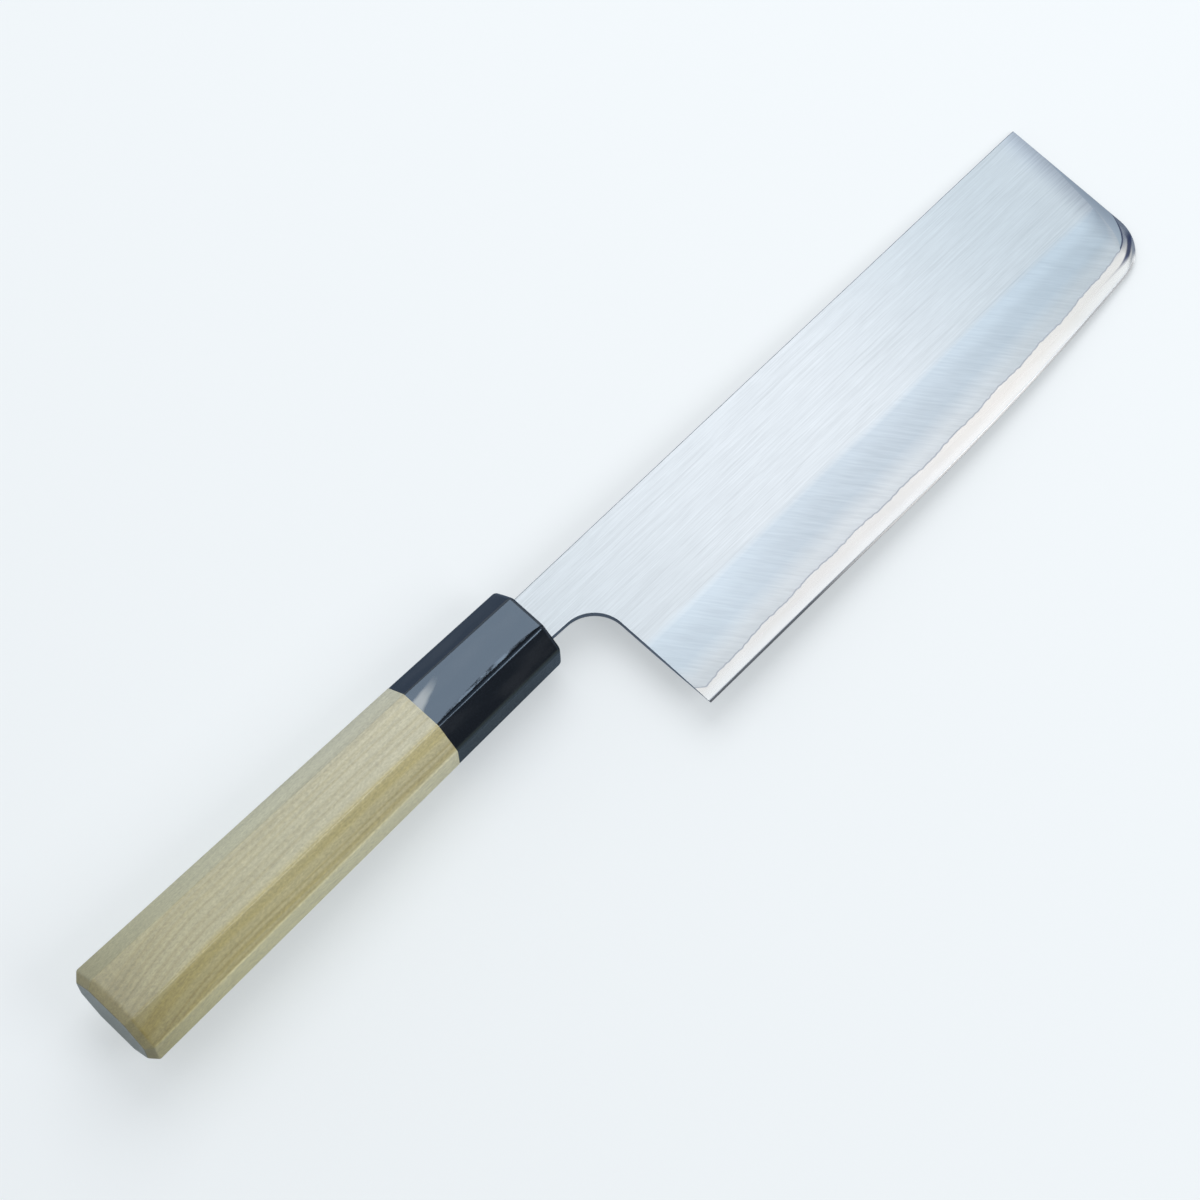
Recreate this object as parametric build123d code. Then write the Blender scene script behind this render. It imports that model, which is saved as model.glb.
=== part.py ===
from build123d import *
import os
from math import cos, exp, pi, radians, sin, tan

# Nakiri: a Japanese vegetable knife with a laminated blade and an octagonal wooden handle.
#
# The knife lies on its left face. X runs along the handle from the butt to the tip, Y from the
# cutting edge up to the spine, and Z out of the right face of the blade. It is drawn from the
# heel corner and the blade's middle plane, and moved at the end so that the origin is the
# middle of the bounding box's bottom.

# Blade outline, in millimetres and degrees
blade_length = 165.5
blade_height = 51.75
belly_radius = 860.0
belly_angle = 5.5
corner_radius = 12.0
front_lean = 1.7
heel_lean = 0.1
tip_corner_radius = 0.4

# Neck and tang
neck_length = 15.25
neck_height = 13.2
neck_slope = 1.8
choil_radius = 9.2
tang_length = 92.0
tang_root_height = 10.0
tang_end_height = 5.5
tang_end_thickness = 1.5
tang_end_radius = 1.2

# Blade section
spine_thickness = 2.0
tip_thickness = 1.6
spine_ease = 0.2
core_thickness = 0.8
edge_land = 0.03
edge_bevel_angle = 12.0
edge_bevel_width = 0.55
core_grind_angle = 3.25
front_thickness = 1.2
bevel_foot_height = 6.0
bevel_crown = 0.06
heel_shinogi_height = 21.2
tip_shinogi_height = 22.6

# Weld between core and cladding, whose waves show where the grinding cuts through it
ripple_depth = 0.02
ripple_step = 3.0
ripple_lengths = (60.0, 17.0)
ripple_shares = (0.4, 0.5)
right_phase_share = 0.45
left_phase_share = 0.15
heel_dip_depth = 0.1
heel_dip_place = 2.5
heel_dip_length = 13.0

# Handle
handle_axis_drop = 7.2
handle_length = 134.6
butt_height = 26.5
butt_thickness = 21.9
butt_corner_cut = 6.6
nose_height = 22.0
nose_thickness = 18.9
nose_corner_cut = 5.7
facet_turns = (0, 90, 45, -45)
arris_turns = (22.5, 67.5, -22.5, -67.5)
arris_ease = 0.1
butt_chamfer = 2.0

# Ferrule and the fit of the pieces in it
ferrule_length = 35.3
ferrule_nose_radius = 1.4
tenon_diameter = 15.0
glue_gap = 0.05
bed_gap = 0.4

# How far cutting shapes run past what they cut
overrun = 1.0

# Places worked out from the sizes above
spine_half = spine_thickness / 2
core_half = core_thickness / 2
clear_half = spine_half + overrun / 2
handle_front = -neck_length
ferrule_rear = handle_front - ferrule_length
handle_rear = handle_front - handle_length
tang_rear = handle_front - tang_length
neck_bottom = blade_height - neck_height
handle_axis_height = blade_height - handle_axis_drop
front_angle = 90 - front_lean

belly_run = belly_radius * sin(radians(belly_angle))
belly_rise = belly_radius * (1 - cos(radians(belly_angle)))
corner_run = corner_radius * (sin(radians(front_angle)) - sin(radians(belly_angle)))
corner_rise = corner_radius * (cos(radians(belly_angle)) - cos(radians(front_angle)))
front_rise = blade_height - belly_rise - corner_rise
front_run = front_rise * tan(radians(front_lean))
flat_length = blade_length - belly_run - corner_run - front_run

edge_slope = tan(radians(edge_bevel_angle))
core_slope = tan(radians(core_grind_angle))
core_grind_start = edge_land / 2 + edge_bevel_width * (edge_slope - core_slope)


def edge_line(start):
    """The straight rear stretch of the cutting edge."""
    return Line((start, 0), (flat_length, 0))


def belly_arc(edge):
    """The long shallow rise of the edge towards the tip."""
    return JernArc(start=edge @ 1, tangent=edge % 1, radius=belly_radius, arc_size=belly_angle)


def corner_arc(belly):
    """The small round corner between the edge and the square front end."""
    turn = front_angle - belly_angle
    return JernArc(start=belly @ 1, tangent=belly % 1, radius=corner_radius, arc_size=turn)


def side_outline():
    """Blade, neck and tang as seen from the right."""
    edge = edge_line(0)
    belly = belly_arc(edge)
    corner = corner_arc(belly)
    choil_corner = Vector(
        neck_bottom * tan(radians(heel_lean)),
        neck_bottom - neck_length * tan(radians(neck_slope)),
    )
    tip_corner = Vector(blade_length, blade_height)
    tang_ends = [
        Vector(tang_rear, handle_axis_height + tang_end_height / 2),
        Vector(tang_rear, handle_axis_height - tang_end_height / 2),
    ]
    back = Polyline(
        corner @ 1,
        tip_corner,
        (handle_front, blade_height),
        (handle_front, handle_axis_height + tang_root_height / 2),
        *tang_ends,
        (handle_front, handle_axis_height - tang_root_height / 2),
        (handle_front, neck_bottom),
        choil_corner,
        (0, 0),
    )
    outline = make_face(Wire([edge, belly, corner, *back.edges()]))
    for place, radius in (
        (choil_corner, choil_radius),
        (tip_corner, tip_corner_radius),
        (tang_ends[0], tang_end_radius),
        (tang_ends[1], tang_end_radius),
    ):
        outline = fillet(outline.vertices().sort_by_distance(place)[0], radius)
    return outline


def thickness_profile():
    """Blade, neck and tang as seen from above: the steel thins to both ends."""
    half_widths = (
        (tang_rear, tang_end_thickness / 2),
        (handle_front, spine_half),
        (0, spine_half),
        (blade_length, tip_thickness / 2),
    )
    right = [(x, half) for x, half in half_widths]
    left = [(x, -half) for x, half in reversed(half_widths)]
    return make_face(Plane.XZ * Polyline(*right, *left, close=True))


def bevel_section(x, shinogi_height, flat_half):
    """What the wide grinding bevel takes off, cut square across the blade at x."""
    foot_half = core_grind_start + core_slope * bevel_foot_height
    bevel_height = shinogi_height - bevel_foot_height

    def half_at(y):
        share = (y - bevel_foot_height) / bevel_height
        crown = 4 * bevel_crown * share * (1 - share)
        return foot_half + (flat_half - foot_half) * share + crown

    low = -overrun
    high = shinogi_height + bevel_height / 2
    middle = (low + high) / 2
    place = Plane(origin=(x, 0, 0), x_dir=(0, 1, 0), z_dir=(1, 0, 0))
    face_line = ThreePointArc((low, half_at(low)), (middle, half_at(middle)), (high, half_at(high)))
    back = Polyline(face_line @ 1, (high, clear_half), (low, clear_half), face_line @ 0)
    return place * make_face(Wire([face_line, *back.edges()]))


def wedge_section(place, start_half, slope):
    """What a flat grind takes off: local x runs into the blade from its edge."""
    reach = (clear_half - start_half) / slope
    return place * make_face(Polyline(
        (-overrun, start_half - slope * overrun),
        (reach, clear_half),
        (-overrun, clear_half),
        close=True,
    ))


def across(path):
    """The plane square to a path at its start, its local x pointing into the blade."""
    tangent = path % 0
    return Plane(origin=path @ 0, x_dir=(-tangent.Y, tangent.X, 0), z_dir=tangent)


def grinding_cuts():
    """The right-hand grinds: wide bevel, core grind, edge bevel and the relief at the front."""
    edge = edge_line(-overrun)
    belly = belly_arc(edge)
    corner = corner_arc(belly)
    front = Line(corner @ 1, corner @ 1 + (corner % 1) * (front_rise + overrun))
    beyond = Line(belly @ 1, belly @ 1 + (belly % 1) * (corner_radius + overrun))

    wide_bevel = loft([
        bevel_section(-overrun, heel_shinogi_height, spine_half),
        bevel_section(blade_length + overrun, tip_shinogi_height, tip_thickness / 2),
    ], ruled=True)
    start = across(edge)
    core_grind = sweep(
        wedge_section(start, core_grind_start, core_slope), path=Wire([edge, belly, beyond]))
    edge_bevel = sweep(
        wedge_section(start, edge_land / 2, edge_slope), path=Wire([edge, belly, corner]))
    front_start = across(front)
    front_end = Plane(origin=front @ 1, x_dir=front_start.x_dir, z_dir=front_start.z_dir)
    rise_share = (front_rise + overrun) / front_rise
    front_gain = (front_thickness - edge_land) / 2 * rise_share
    front_relief = loft([
        wedge_section(front_start, edge_land / 2, edge_slope),
        wedge_section(front_end, edge_land / 2 + front_gain, edge_slope),
    ], ruled=True)
    return [wide_bevel, core_grind, edge_bevel, front_relief]


def steel_blank():
    """The whole ground blade with its neck and tang, before it is told apart into layers."""
    blank = extrude(side_outline(), amount=clear_half, both=True)
    blank &= extrude(thickness_profile(), amount=blade_height + overrun, both=True)
    for cut in grinding_cuts():
        blank -= cut
        blank -= mirror(cut, about=Plane.XY)
    spine = blank.faces().filter_by(Axis.Y).sort_by(Axis.Y)[-1]
    spine_edges = spine.edges().filter_by(lambda edge: edge.length > spine_thickness)
    return chamfer(spine_edges, spine_ease)


def weld_offset(x, phase_share):
    """How far the weld between core and cladding wanders from its plane at x."""
    wave = sum(
        share * sin(2 * pi * (x / length + phase_share * number))
        for number, (length, share) in enumerate(zip(ripple_lengths, ripple_shares), start=1)
    )
    dip = heel_dip_depth * exp(-abs(x - heel_dip_place) / heel_dip_length)
    return ripple_depth * wave - dip


def weld_line(side, phase_share):
    """One weld seen from above: straight through tang and neck, uneven along the blade."""
    steps = round(blade_length / ripple_step)
    places = [blade_length * number / steps for number in range(steps + 1)]
    points = [(x, side * (core_half + weld_offset(x, phase_share))) for x in places]
    straight = Line((tang_rear - overrun, side * core_half), (-overrun, side * core_half))
    lead = Line(straight @ 1, points[0])
    wavy = Spline(*points)
    tail = Line(points[-1], (blade_length + overrun, side * core_half))
    return [straight, lead, wavy, tail]


def core_slab():
    """The space between the two welds, running out past the steel on every side."""
    right = weld_line(1, right_phase_share)
    left = weld_line(-1, left_phase_share)
    ends = [Line(right[0] @ 0, left[0] @ 0), Line(right[-1] @ 1, left[-1] @ 1)]
    face = make_face(Plane.XZ * Wire([*right, *left, *ends]))
    return extrude(face, amount=blade_height + overrun, both=True)


def handle_sizes(x):
    """Half height, half thickness and corner cut of the octagon at x, tapering evenly."""
    share = (x - handle_rear) / handle_length
    rear_sizes = (butt_height / 2, butt_thickness / 2, butt_corner_cut)
    nose_sizes = (nose_height / 2, nose_thickness / 2, nose_corner_cut)
    return tuple(rear + (nose - rear) * share for rear, nose in zip(rear_sizes, nose_sizes))


def reach_of_octagon(x, turn):
    """How far the octagon at x stands out from its axis, turned from Z towards Y by an angle."""
    half_height, half_thickness, cut = handle_sizes(x)
    corners = ((half_height, half_thickness - cut), (half_height - cut, half_thickness))
    angle = radians(abs(turn))
    return max(y * sin(angle) + z * cos(angle) for y, z in corners)


def tapered_plate(turn, trim):
    """The space between two opposite facets: tapered, chamfered at the butt, rounded in front."""
    chamfer_foot = handle_rear + butt_chamfer
    nose_start = handle_front - ferrule_nose_radius

    def place(x, side, inset=0):
        return Vector(x, side * (reach_of_octagon(x, turn) - trim - inset))

    back = Polyline(
        place(nose_start, 1),
        place(chamfer_foot, 1),
        place(handle_rear, 1, butt_chamfer),
        place(handle_rear, -1, butt_chamfer),
        place(chamfer_foot, -1),
        place(nose_start, -1),
    )
    noses = [
        TangentArc(
            place(nose_start, side),
            place(handle_front, side, ferrule_nose_radius),
            tangent=place(nose_start, side) - place(chamfer_foot, side),
        )
        for side in (1, -1)
    ]
    front = Line(noses[0] @ 1, noses[1] @ 1)
    outline = make_face(Plane.XZ * Wire([*back.edges(), *noses, front]))
    plate = extrude(outline, amount=butt_height, both=True)
    return Pos(0, handle_axis_height, 0) * Rot(turn, 0, 0) * plate


def handle_form():
    """Grip and ferrule in one, so that their facets line up: a tapered octagon, its arrises eased."""
    first, *facets = [tapered_plate(turn, 0) for turn in facet_turns]
    form = first
    for plate in facets + [tapered_plate(turn, arris_ease) for turn in arris_turns]:
        form &= plate
    return form


def rod(rear, front, radius):
    """A round bar on the handle's axis."""
    place = Plane(origin=(rear, handle_axis_height, 0), x_dir=(0, 1, 0), z_dir=(1, 0, 0))
    return extrude(place * Circle(radius), amount=front - rear)


def tang_space(gap):
    """The tang grown by a gap on its sides and its end: the hole it is bedded in."""
    rear = tang_rear - gap
    root_half = tang_root_height / 2 + gap
    end_half = tang_end_height / 2 + gap
    outline = make_face(Polyline(
        (rear, handle_axis_height - end_half),
        (handle_front, handle_axis_height - root_half),
        (handle_front, handle_axis_height + root_half),
        (rear, handle_axis_height + end_half),
        close=True,
    ))
    profile = make_face(Plane.XZ * Polyline(
        (rear, -tang_end_thickness / 2 - gap),
        (handle_front, -spine_half - gap),
        (handle_front, spine_half + gap),
        (rear, tang_end_thickness / 2 + gap),
        close=True,
    ))
    space = extrude(outline, amount=clear_half + gap, both=True)
    return space & extrude(profile, amount=blade_height + overrun, both=True)


def in_part_frame(shape):
    """Move a shape so that the origin is the middle of the bounding box's bottom."""
    top_half_height, lowest_half_thickness, _ = handle_sizes(handle_rear + butt_chamfer)
    middle_x = (handle_rear + blade_length) / 2
    middle_y = (handle_axis_height + top_half_height) / 2
    return Pos(-middle_x, -middle_y, lowest_half_thickness) * shape


def blade_layers(steel):
    """The steel told apart at its two welds."""
    slab = core_slab()
    left, right = (steel - slab).solids().sort_by(Axis.Z)
    return {"core_steel": steel & slab, "right_cladding": right, "left_cladding": left}


def handle_pieces(steel):
    """Grip with its tenon and tang hole, the ferrule on the tenon, and the bedding of the tang."""
    form = handle_form()
    joint = Plane.YZ.offset(ferrule_rear)
    hole = tang_space(bed_gap)
    tenon = rod(ferrule_rear, handle_front, tenon_diameter / 2)
    bore = rod(ferrule_rear, handle_front, tenon_diameter / 2 + glue_gap)
    grip = split(form, bisect_by=joint, keep=Keep.BOTTOM) + tenon - hole
    ferrule = split(form, bisect_by=joint, keep=Keep.TOP) - bore
    return {"grip": grip, "ferrule": ferrule, "tang_bedding": hole - steel}


blade = steel_blank()
os.makedirs("parts", exist_ok=True)
for name, shape in {**blade_layers(blade), **handle_pieces(blade)}.items():
    piece = in_part_frame(shape)
    piece.label = name
    export_step(piece, f"parts/{name}.step")
    box = piece.bounding_box()
    print(name, round(piece.volume, 1), len(piece.solids()), piece.is_valid, box.min, box.max)
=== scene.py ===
"""Nakiri: a vegetable knife with a laminated blade and an octagonal wooden handle.

Lengths are in metres and angles in radians. The blade is worked out from its heel corner: x runs
along the blade to the tip, y from the cutting edge to the spine, and z out of the right face.
"""

import math

import bmesh
import bpy
import numpy as np
from bpy.props import FloatProperty, FloatVectorProperty, PointerProperty
from mathutils import Matrix, Vector


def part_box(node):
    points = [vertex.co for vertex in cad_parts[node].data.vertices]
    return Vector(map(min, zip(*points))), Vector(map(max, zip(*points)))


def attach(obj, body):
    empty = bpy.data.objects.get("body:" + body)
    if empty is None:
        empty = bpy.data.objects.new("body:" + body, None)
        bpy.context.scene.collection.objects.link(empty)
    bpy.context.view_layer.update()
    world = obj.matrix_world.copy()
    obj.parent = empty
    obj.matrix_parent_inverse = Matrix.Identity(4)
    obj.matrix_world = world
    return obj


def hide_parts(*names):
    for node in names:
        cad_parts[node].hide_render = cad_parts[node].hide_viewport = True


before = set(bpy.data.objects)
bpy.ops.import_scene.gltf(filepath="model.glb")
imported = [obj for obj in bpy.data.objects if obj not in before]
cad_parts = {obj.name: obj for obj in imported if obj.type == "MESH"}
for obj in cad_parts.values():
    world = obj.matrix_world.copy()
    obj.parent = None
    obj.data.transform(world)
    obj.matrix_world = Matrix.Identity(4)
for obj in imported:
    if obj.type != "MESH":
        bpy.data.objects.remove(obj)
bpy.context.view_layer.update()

bl_info = {
    "name": "Nakiri knife",
    "version": (1, 0, 0),
    "blender": (4, 5, 0),
    "location": "View3D > Sidebar > Knife",
    "description": "Builds a laminated vegetable knife with an octagonal handle",
    "category": "Add Mesh",
}

MM = 0.001


def length(description, millimetres):
    """A length property, given in millimetres and kept in metres."""
    default = millimetres * MM
    return FloatProperty, dict(description=description, default=default, unit="LENGTH", precision=5)


def angle(description, degrees):
    """An angle property, given in degrees."""
    default = math.radians(degrees)
    return FloatProperty, dict(description=description, default=default, subtype="ANGLE")


def share(description, value):
    """A share of something, usually from 0 to 1."""
    return FloatProperty, dict(description=description, default=value, subtype="FACTOR")


def amount(description, value):
    """A plain number."""
    return FloatProperty, dict(description=description, default=value)


def colour(description, *tone):
    """A colour property in linear light."""
    return FloatVectorProperty, dict(
        description=description, default=tone, subtype="COLOR", size=3, min=0.0, max=1.0
    )


def point(description, *place):
    """A place, in metres."""
    return FloatVectorProperty, dict(
        description=description, default=place, size=3, subtype="TRANSLATION", unit="LENGTH"
    )


def named(**properties):
    """Properties for a group, their names on the panel made from their keys."""
    return {
        key: kind(name=key.replace("_", " ").capitalize(), **settings)
        for key, (kind, settings) in properties.items()
    }


class BladeSizes(bpy.types.PropertyGroup):
    """The blade's outline, its section and its welds."""

    __annotations__ = named(
        blade_length=length("From the heel corner to the tip", 165.5),
        blade_height=length("From the cutting edge to the spine", 51.75),
        belly_radius=length("Radius of the edge's shallow rise", 860),
        belly_angle=angle("How far the edge turns along the belly", 5.5),
        corner_radius=length("Radius of the corner below the front end", 12),
        front_lean=angle("Lean of the front end", 1.7),
        heel_lean=angle("Lean of the heel", 0.1),
        neck_length=length("From the heel corner back to the ferrule", 15.25),
        neck_height=length("Height of the neck at the ferrule", 13.2),
        neck_slope=angle("Slope of the neck's lower side", 1.8),
        choil_radius=length("Radius between the neck and the heel", 9.2),
        tang_length=length("From the ferrule's front to the tang's end", 92),
        tang_root_height=length("Height of the tang at the ferrule", 10),
        tang_end_height=length("Height of the tang at its end", 5.5),
        tang_end_thickness=length("Thickness of the tang's end", 1.5),
        spine_thickness=length("Thickness of the spine at the heel", 2.0),
        tip_thickness=length("Thickness of the spine at the tip", 1.6),
        spine_ease=length("Chamfer along the spine's edges", 0.2),
        core_thickness=length("Thickness of the hard steel in the middle", 0.8),
        edge_land=length("Thickness of the cutting edge", 0.03),
        edge_bevel_angle=angle("Slope of the small edge bevel", 12),
        edge_bevel_width=length("Width of the small edge bevel", 0.55),
        core_grind_angle=angle("Slope of the ground core", 3.25),
        front_thickness=length("Thickness of the front end at the spine", 1.2),
        bevel_foot_height=length("Where the wide bevel meets the core grind", 6),
        bevel_crown=length("How far the wide bevel bulges", 0.06),
        heel_shinogi_height=length("Top of the wide bevel", 21.2),
        tip_shinogi_height=length("Top of the wide bevel", 22.6),
        ripple_depth=length("How far the welds wander from flat", 0.02),
        long_ripple=length("Length of the welds' long waves", 60),
        short_ripple=length("Length of the welds' short waves", 17),
        long_ripple_share=share("Share of the long waves", 0.4),
        short_ripple_share=share("Share of the short waves", 0.5),
        right_phase=share("Where the right weld's waves start", 0.45),
        left_phase=share("Where the left weld's waves start", 0.15),
        heel_dip_depth=length("Dip of the welds at the heel", 0.1),
        heel_dip_place=length("Where the dip is deepest", 2.5),
        heel_dip_length=length("How fast the dip fades", 13),
        jitter_depth=length("Small unevenness of the welds", 0.006),
        roll_width=length("How far the front is rolled off, at the corner", 9.5),
        roll_narrowing=share("How much narrower the roll is at the spine", 0.6),
    )


class HandleSizes(bpy.types.PropertyGroup):
    """Grip, ferrule and the tang hole."""

    __annotations__ = named(
        axis_drop=length("From the spine down to the handle's axis", 7.2),
        handle_length=length("Grip and ferrule together", 134.58),
        butt_height=length("Height at the butt", 26.5),
        butt_thickness=length("Thickness at the butt", 21.9),
        butt_corner_cut=length("Corner cut at the butt", 6.6),
        nose_height=length("Height at the front", 22),
        nose_thickness=length("Thickness at the front", 18.9),
        nose_corner_cut=length("Corner cut at the front", 5.7),
        butt_chamfer=length("Chamfer round the butt", 2),
        wood_arris=length("Rounding between the grip's facets", 0.8),
        horn_front_arris=length("Rounding of the arrises at the front", 2.2),
        horn_rear_arris=length("Rounding of the arrises at the joint", 1.6),
        horn_crown=length("How far the buffed facets bulge", 0.03),
        ferrule_length=length("Length of the horn ferrule", 35.3),
        nose_radius=length("Rounding of the ferrule's front", 1.4),
        tenon_diameter=length("Round tenon inside the ferrule", 15),
        glue_gap=length("Between the tenon and the ferrule", 0.05),
        bed_gap=length("Between the tang and its hole", 0.4),
    )


class SteelLook(bpy.types.PropertyGroup):
    """Colours and finish of the blade."""

    __annotations__ = named(
        flat=colour("Brushed flat of the blade", 0.39, 0.42, 0.45),
        # The bevel tones are partly the polished finish and partly painted reflection
        bevel=colour("Darkest part of the wide bevel", 0.285, 0.325, 0.365),
        bevel_foot=colour("Wide bevel just above the weld", 0.345, 0.37, 0.395),
        # Painted reflection: the core's tone from the edge up toward the weld
        core=colour("Polished hard steel by the edge", 0.41, 0.42, 0.43),
        warm_core=colour("Polished hard steel by the weld", 0.385, 0.385, 0.385),
        # Painted shade: the next three tints darken the steel toward the tip, the handle and the
        # rolled front
        far_tint=colour("How the steel dims toward the tip", 0.80, 0.85, 0.875),
        near_tint=colour("How the steel dims toward the handle", 0.90, 0.92, 0.925),
        front_tint=colour("How the steel dims along the rolled front", 0.70, 0.76, 0.84),
        seam=colour("Line of the weld", 0.16, 0.18, 0.21),
        rim=colour("Narrow faces round the blade", 0.48, 0.51, 0.54),
        # Painted reflection: the small edge bevel's fine lines and the pale gap between them
        edge_line=colour("Fine lines along the edge bevel", 0.20, 0.22, 0.25),
        faint_edge_line=colour("Outer line from the middle forward", 0.72, 0.74, 0.76),
        inner_edge_line=colour("Inner line from the middle forward", 0.33, 0.35, 0.37),
        edge_gap=colour("Edge bevel between its fine lines", 1.0, 1.0, 1.0),
        far_edge_gap=colour("The same near the front corner", 0.56, 0.58, 0.60),
        # Painted shade on the rolled front corner: its darker core and the dark streak, whose
        # colour also draws the weld's climbing line
        corner_shade=colour("Core where it rolls over the front corner", 0.10, 0.125, 0.17),
        rim_shade=colour("Dark streak on the front corner", 0.012, 0.02, 0.055),
        roughness=share("Roughness of the brushed flat", 0.42),
    )


class HandleLook(bpy.types.PropertyGroup):
    """Colours and finish of wood, horn and bedding."""

    __annotations__ = named(
        pale_wood=colour("Wood between its growth lines", 0.41, 0.385, 0.237),
        soft_line=colour("Faint growth lines", 0.345, 0.31, 0.165),
        golden_wood=colour("Warmer bands of the wood", 0.39, 0.34, 0.145),
        dark_wood=colour("Strong growth lines", 0.285, 0.24, 0.11),
        # Painted light: the far facet and the near narrow side paler and greyer
        side_wood=colour("Greyer wood on the narrow sides", 0.48, 0.50, 0.41),
        end_grain=colour("Chamfer at the butt", 0.27, 0.235, 0.105),
        # The sawn face's grey is partly painted shade; the next colour draws a dark line round it
        butt_face=colour("Sawn face of the butt", 0.29, 0.305, 0.265),
        butt_line=colour("Browned arris around the sawn face", 0.10, 0.08, 0.03),
        horn=colour("Body of the black horn", 0.008, 0.010, 0.014),
        # Painted reflection of the floor on the near narrow side
        horn_side=colour("Greyer horn on the narrow side", 0.030, 0.038, 0.036),
        # Painted highlight on the top facet by the joint
        horn_streak=colour("Pale streak in the horn by the joint", 0.27, 0.27, 0.25),
        bedding=colour("Set adhesive round the tang", 0.30, 0.26, 0.20),
    )


class StudioLook(bpy.types.PropertyGroup):
    """Floor, light and camera."""

    __annotations__ = named(
        floor=colour("Pale floor", 0.855, 0.89, 0.92),
        backdrop=colour("Pale tone that the floor and the room glow with", 0.86, 0.915, 0.945),
        glow=share("Share of the floor's own glow, like a light table", 0.5),
        dark_floor=colour("The floor as polished parts see it", 0.19, 0.25, 0.34),
        room=colour("Soft light from all round", 0.80, 0.80, 0.80),
        lamp=colour("Large soft lamp", 1.0, 1.0, 1.0),
        lamp_radiance=amount("Brightness of the lamp", 2.25),
        lamp_place=point("Centre of the lamp", 0.37, 0.38, 0.83),
        lamp_width=length("Side of the lamp along the knife", 760),
        lamp_depth=length("Side of the lamp across the knife", 760),
        fill_radiance=amount("Brightness of the fill", 4.2),
        fill_place=point("Centre of the fill", 0.16, -0.66, 0.66),
        fill_size=length("Side of the square fill", 440),
        focal_length=amount("Camera lens in millimetres", 105),
    )


GROUPS = {
    "blade_sizes": BladeSizes,
    "handle_sizes": HandleSizes,
    "steel_look": SteelLook,
    "handle_look": HandleLook,
    "studio_look": StudioLook,
}


def overload(operation):
    """An operator that adds a Math node, and its reflected form."""
    return (
        lambda value, other: value.math(operation, value, other),
        lambda value, other: value.math(operation, other, value),
    )


class Value:
    """A socket that Python's operators work on: each one adds a Math node."""

    __add__, __radd__ = overload("ADD")
    __sub__, __rsub__ = overload("SUBTRACT")
    __mul__, __rmul__ = overload("MULTIPLY")
    __truediv__, __rtruediv__ = overload("DIVIDE")
    __pow__, __rpow__ = overload("POWER")

    def __init__(self, nodes, socket):
        self.nodes = nodes
        self.socket = socket

    def math(self, operation, *values):
        return self.nodes.add("Math", {"operation": operation}, dict(enumerate(values)))

    def at_least(self, low):
        return self.math("MAXIMUM", self, low)

    def smoothly(self, low, high):
        """0 below low, 1 above high, and a smooth step between them."""
        inputs = {"Value": self, "From Min": low, "From Max": high}
        return self.nodes.add("MapRange", {"interpolation_type": "SMOOTHSTEP"}, inputs)

    def rise(self, low, high):
        """The same with both ends in millimetres."""
        return self.smoothly(low * MM, high * MM)

    def fall(self, low, high):
        """1 below low and 0 above high, both in millimetres."""
        return 1 - self.rise(low, high)


# Outputs of the Light Path node
CAMERA, GLOSS = 0, 3


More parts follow.
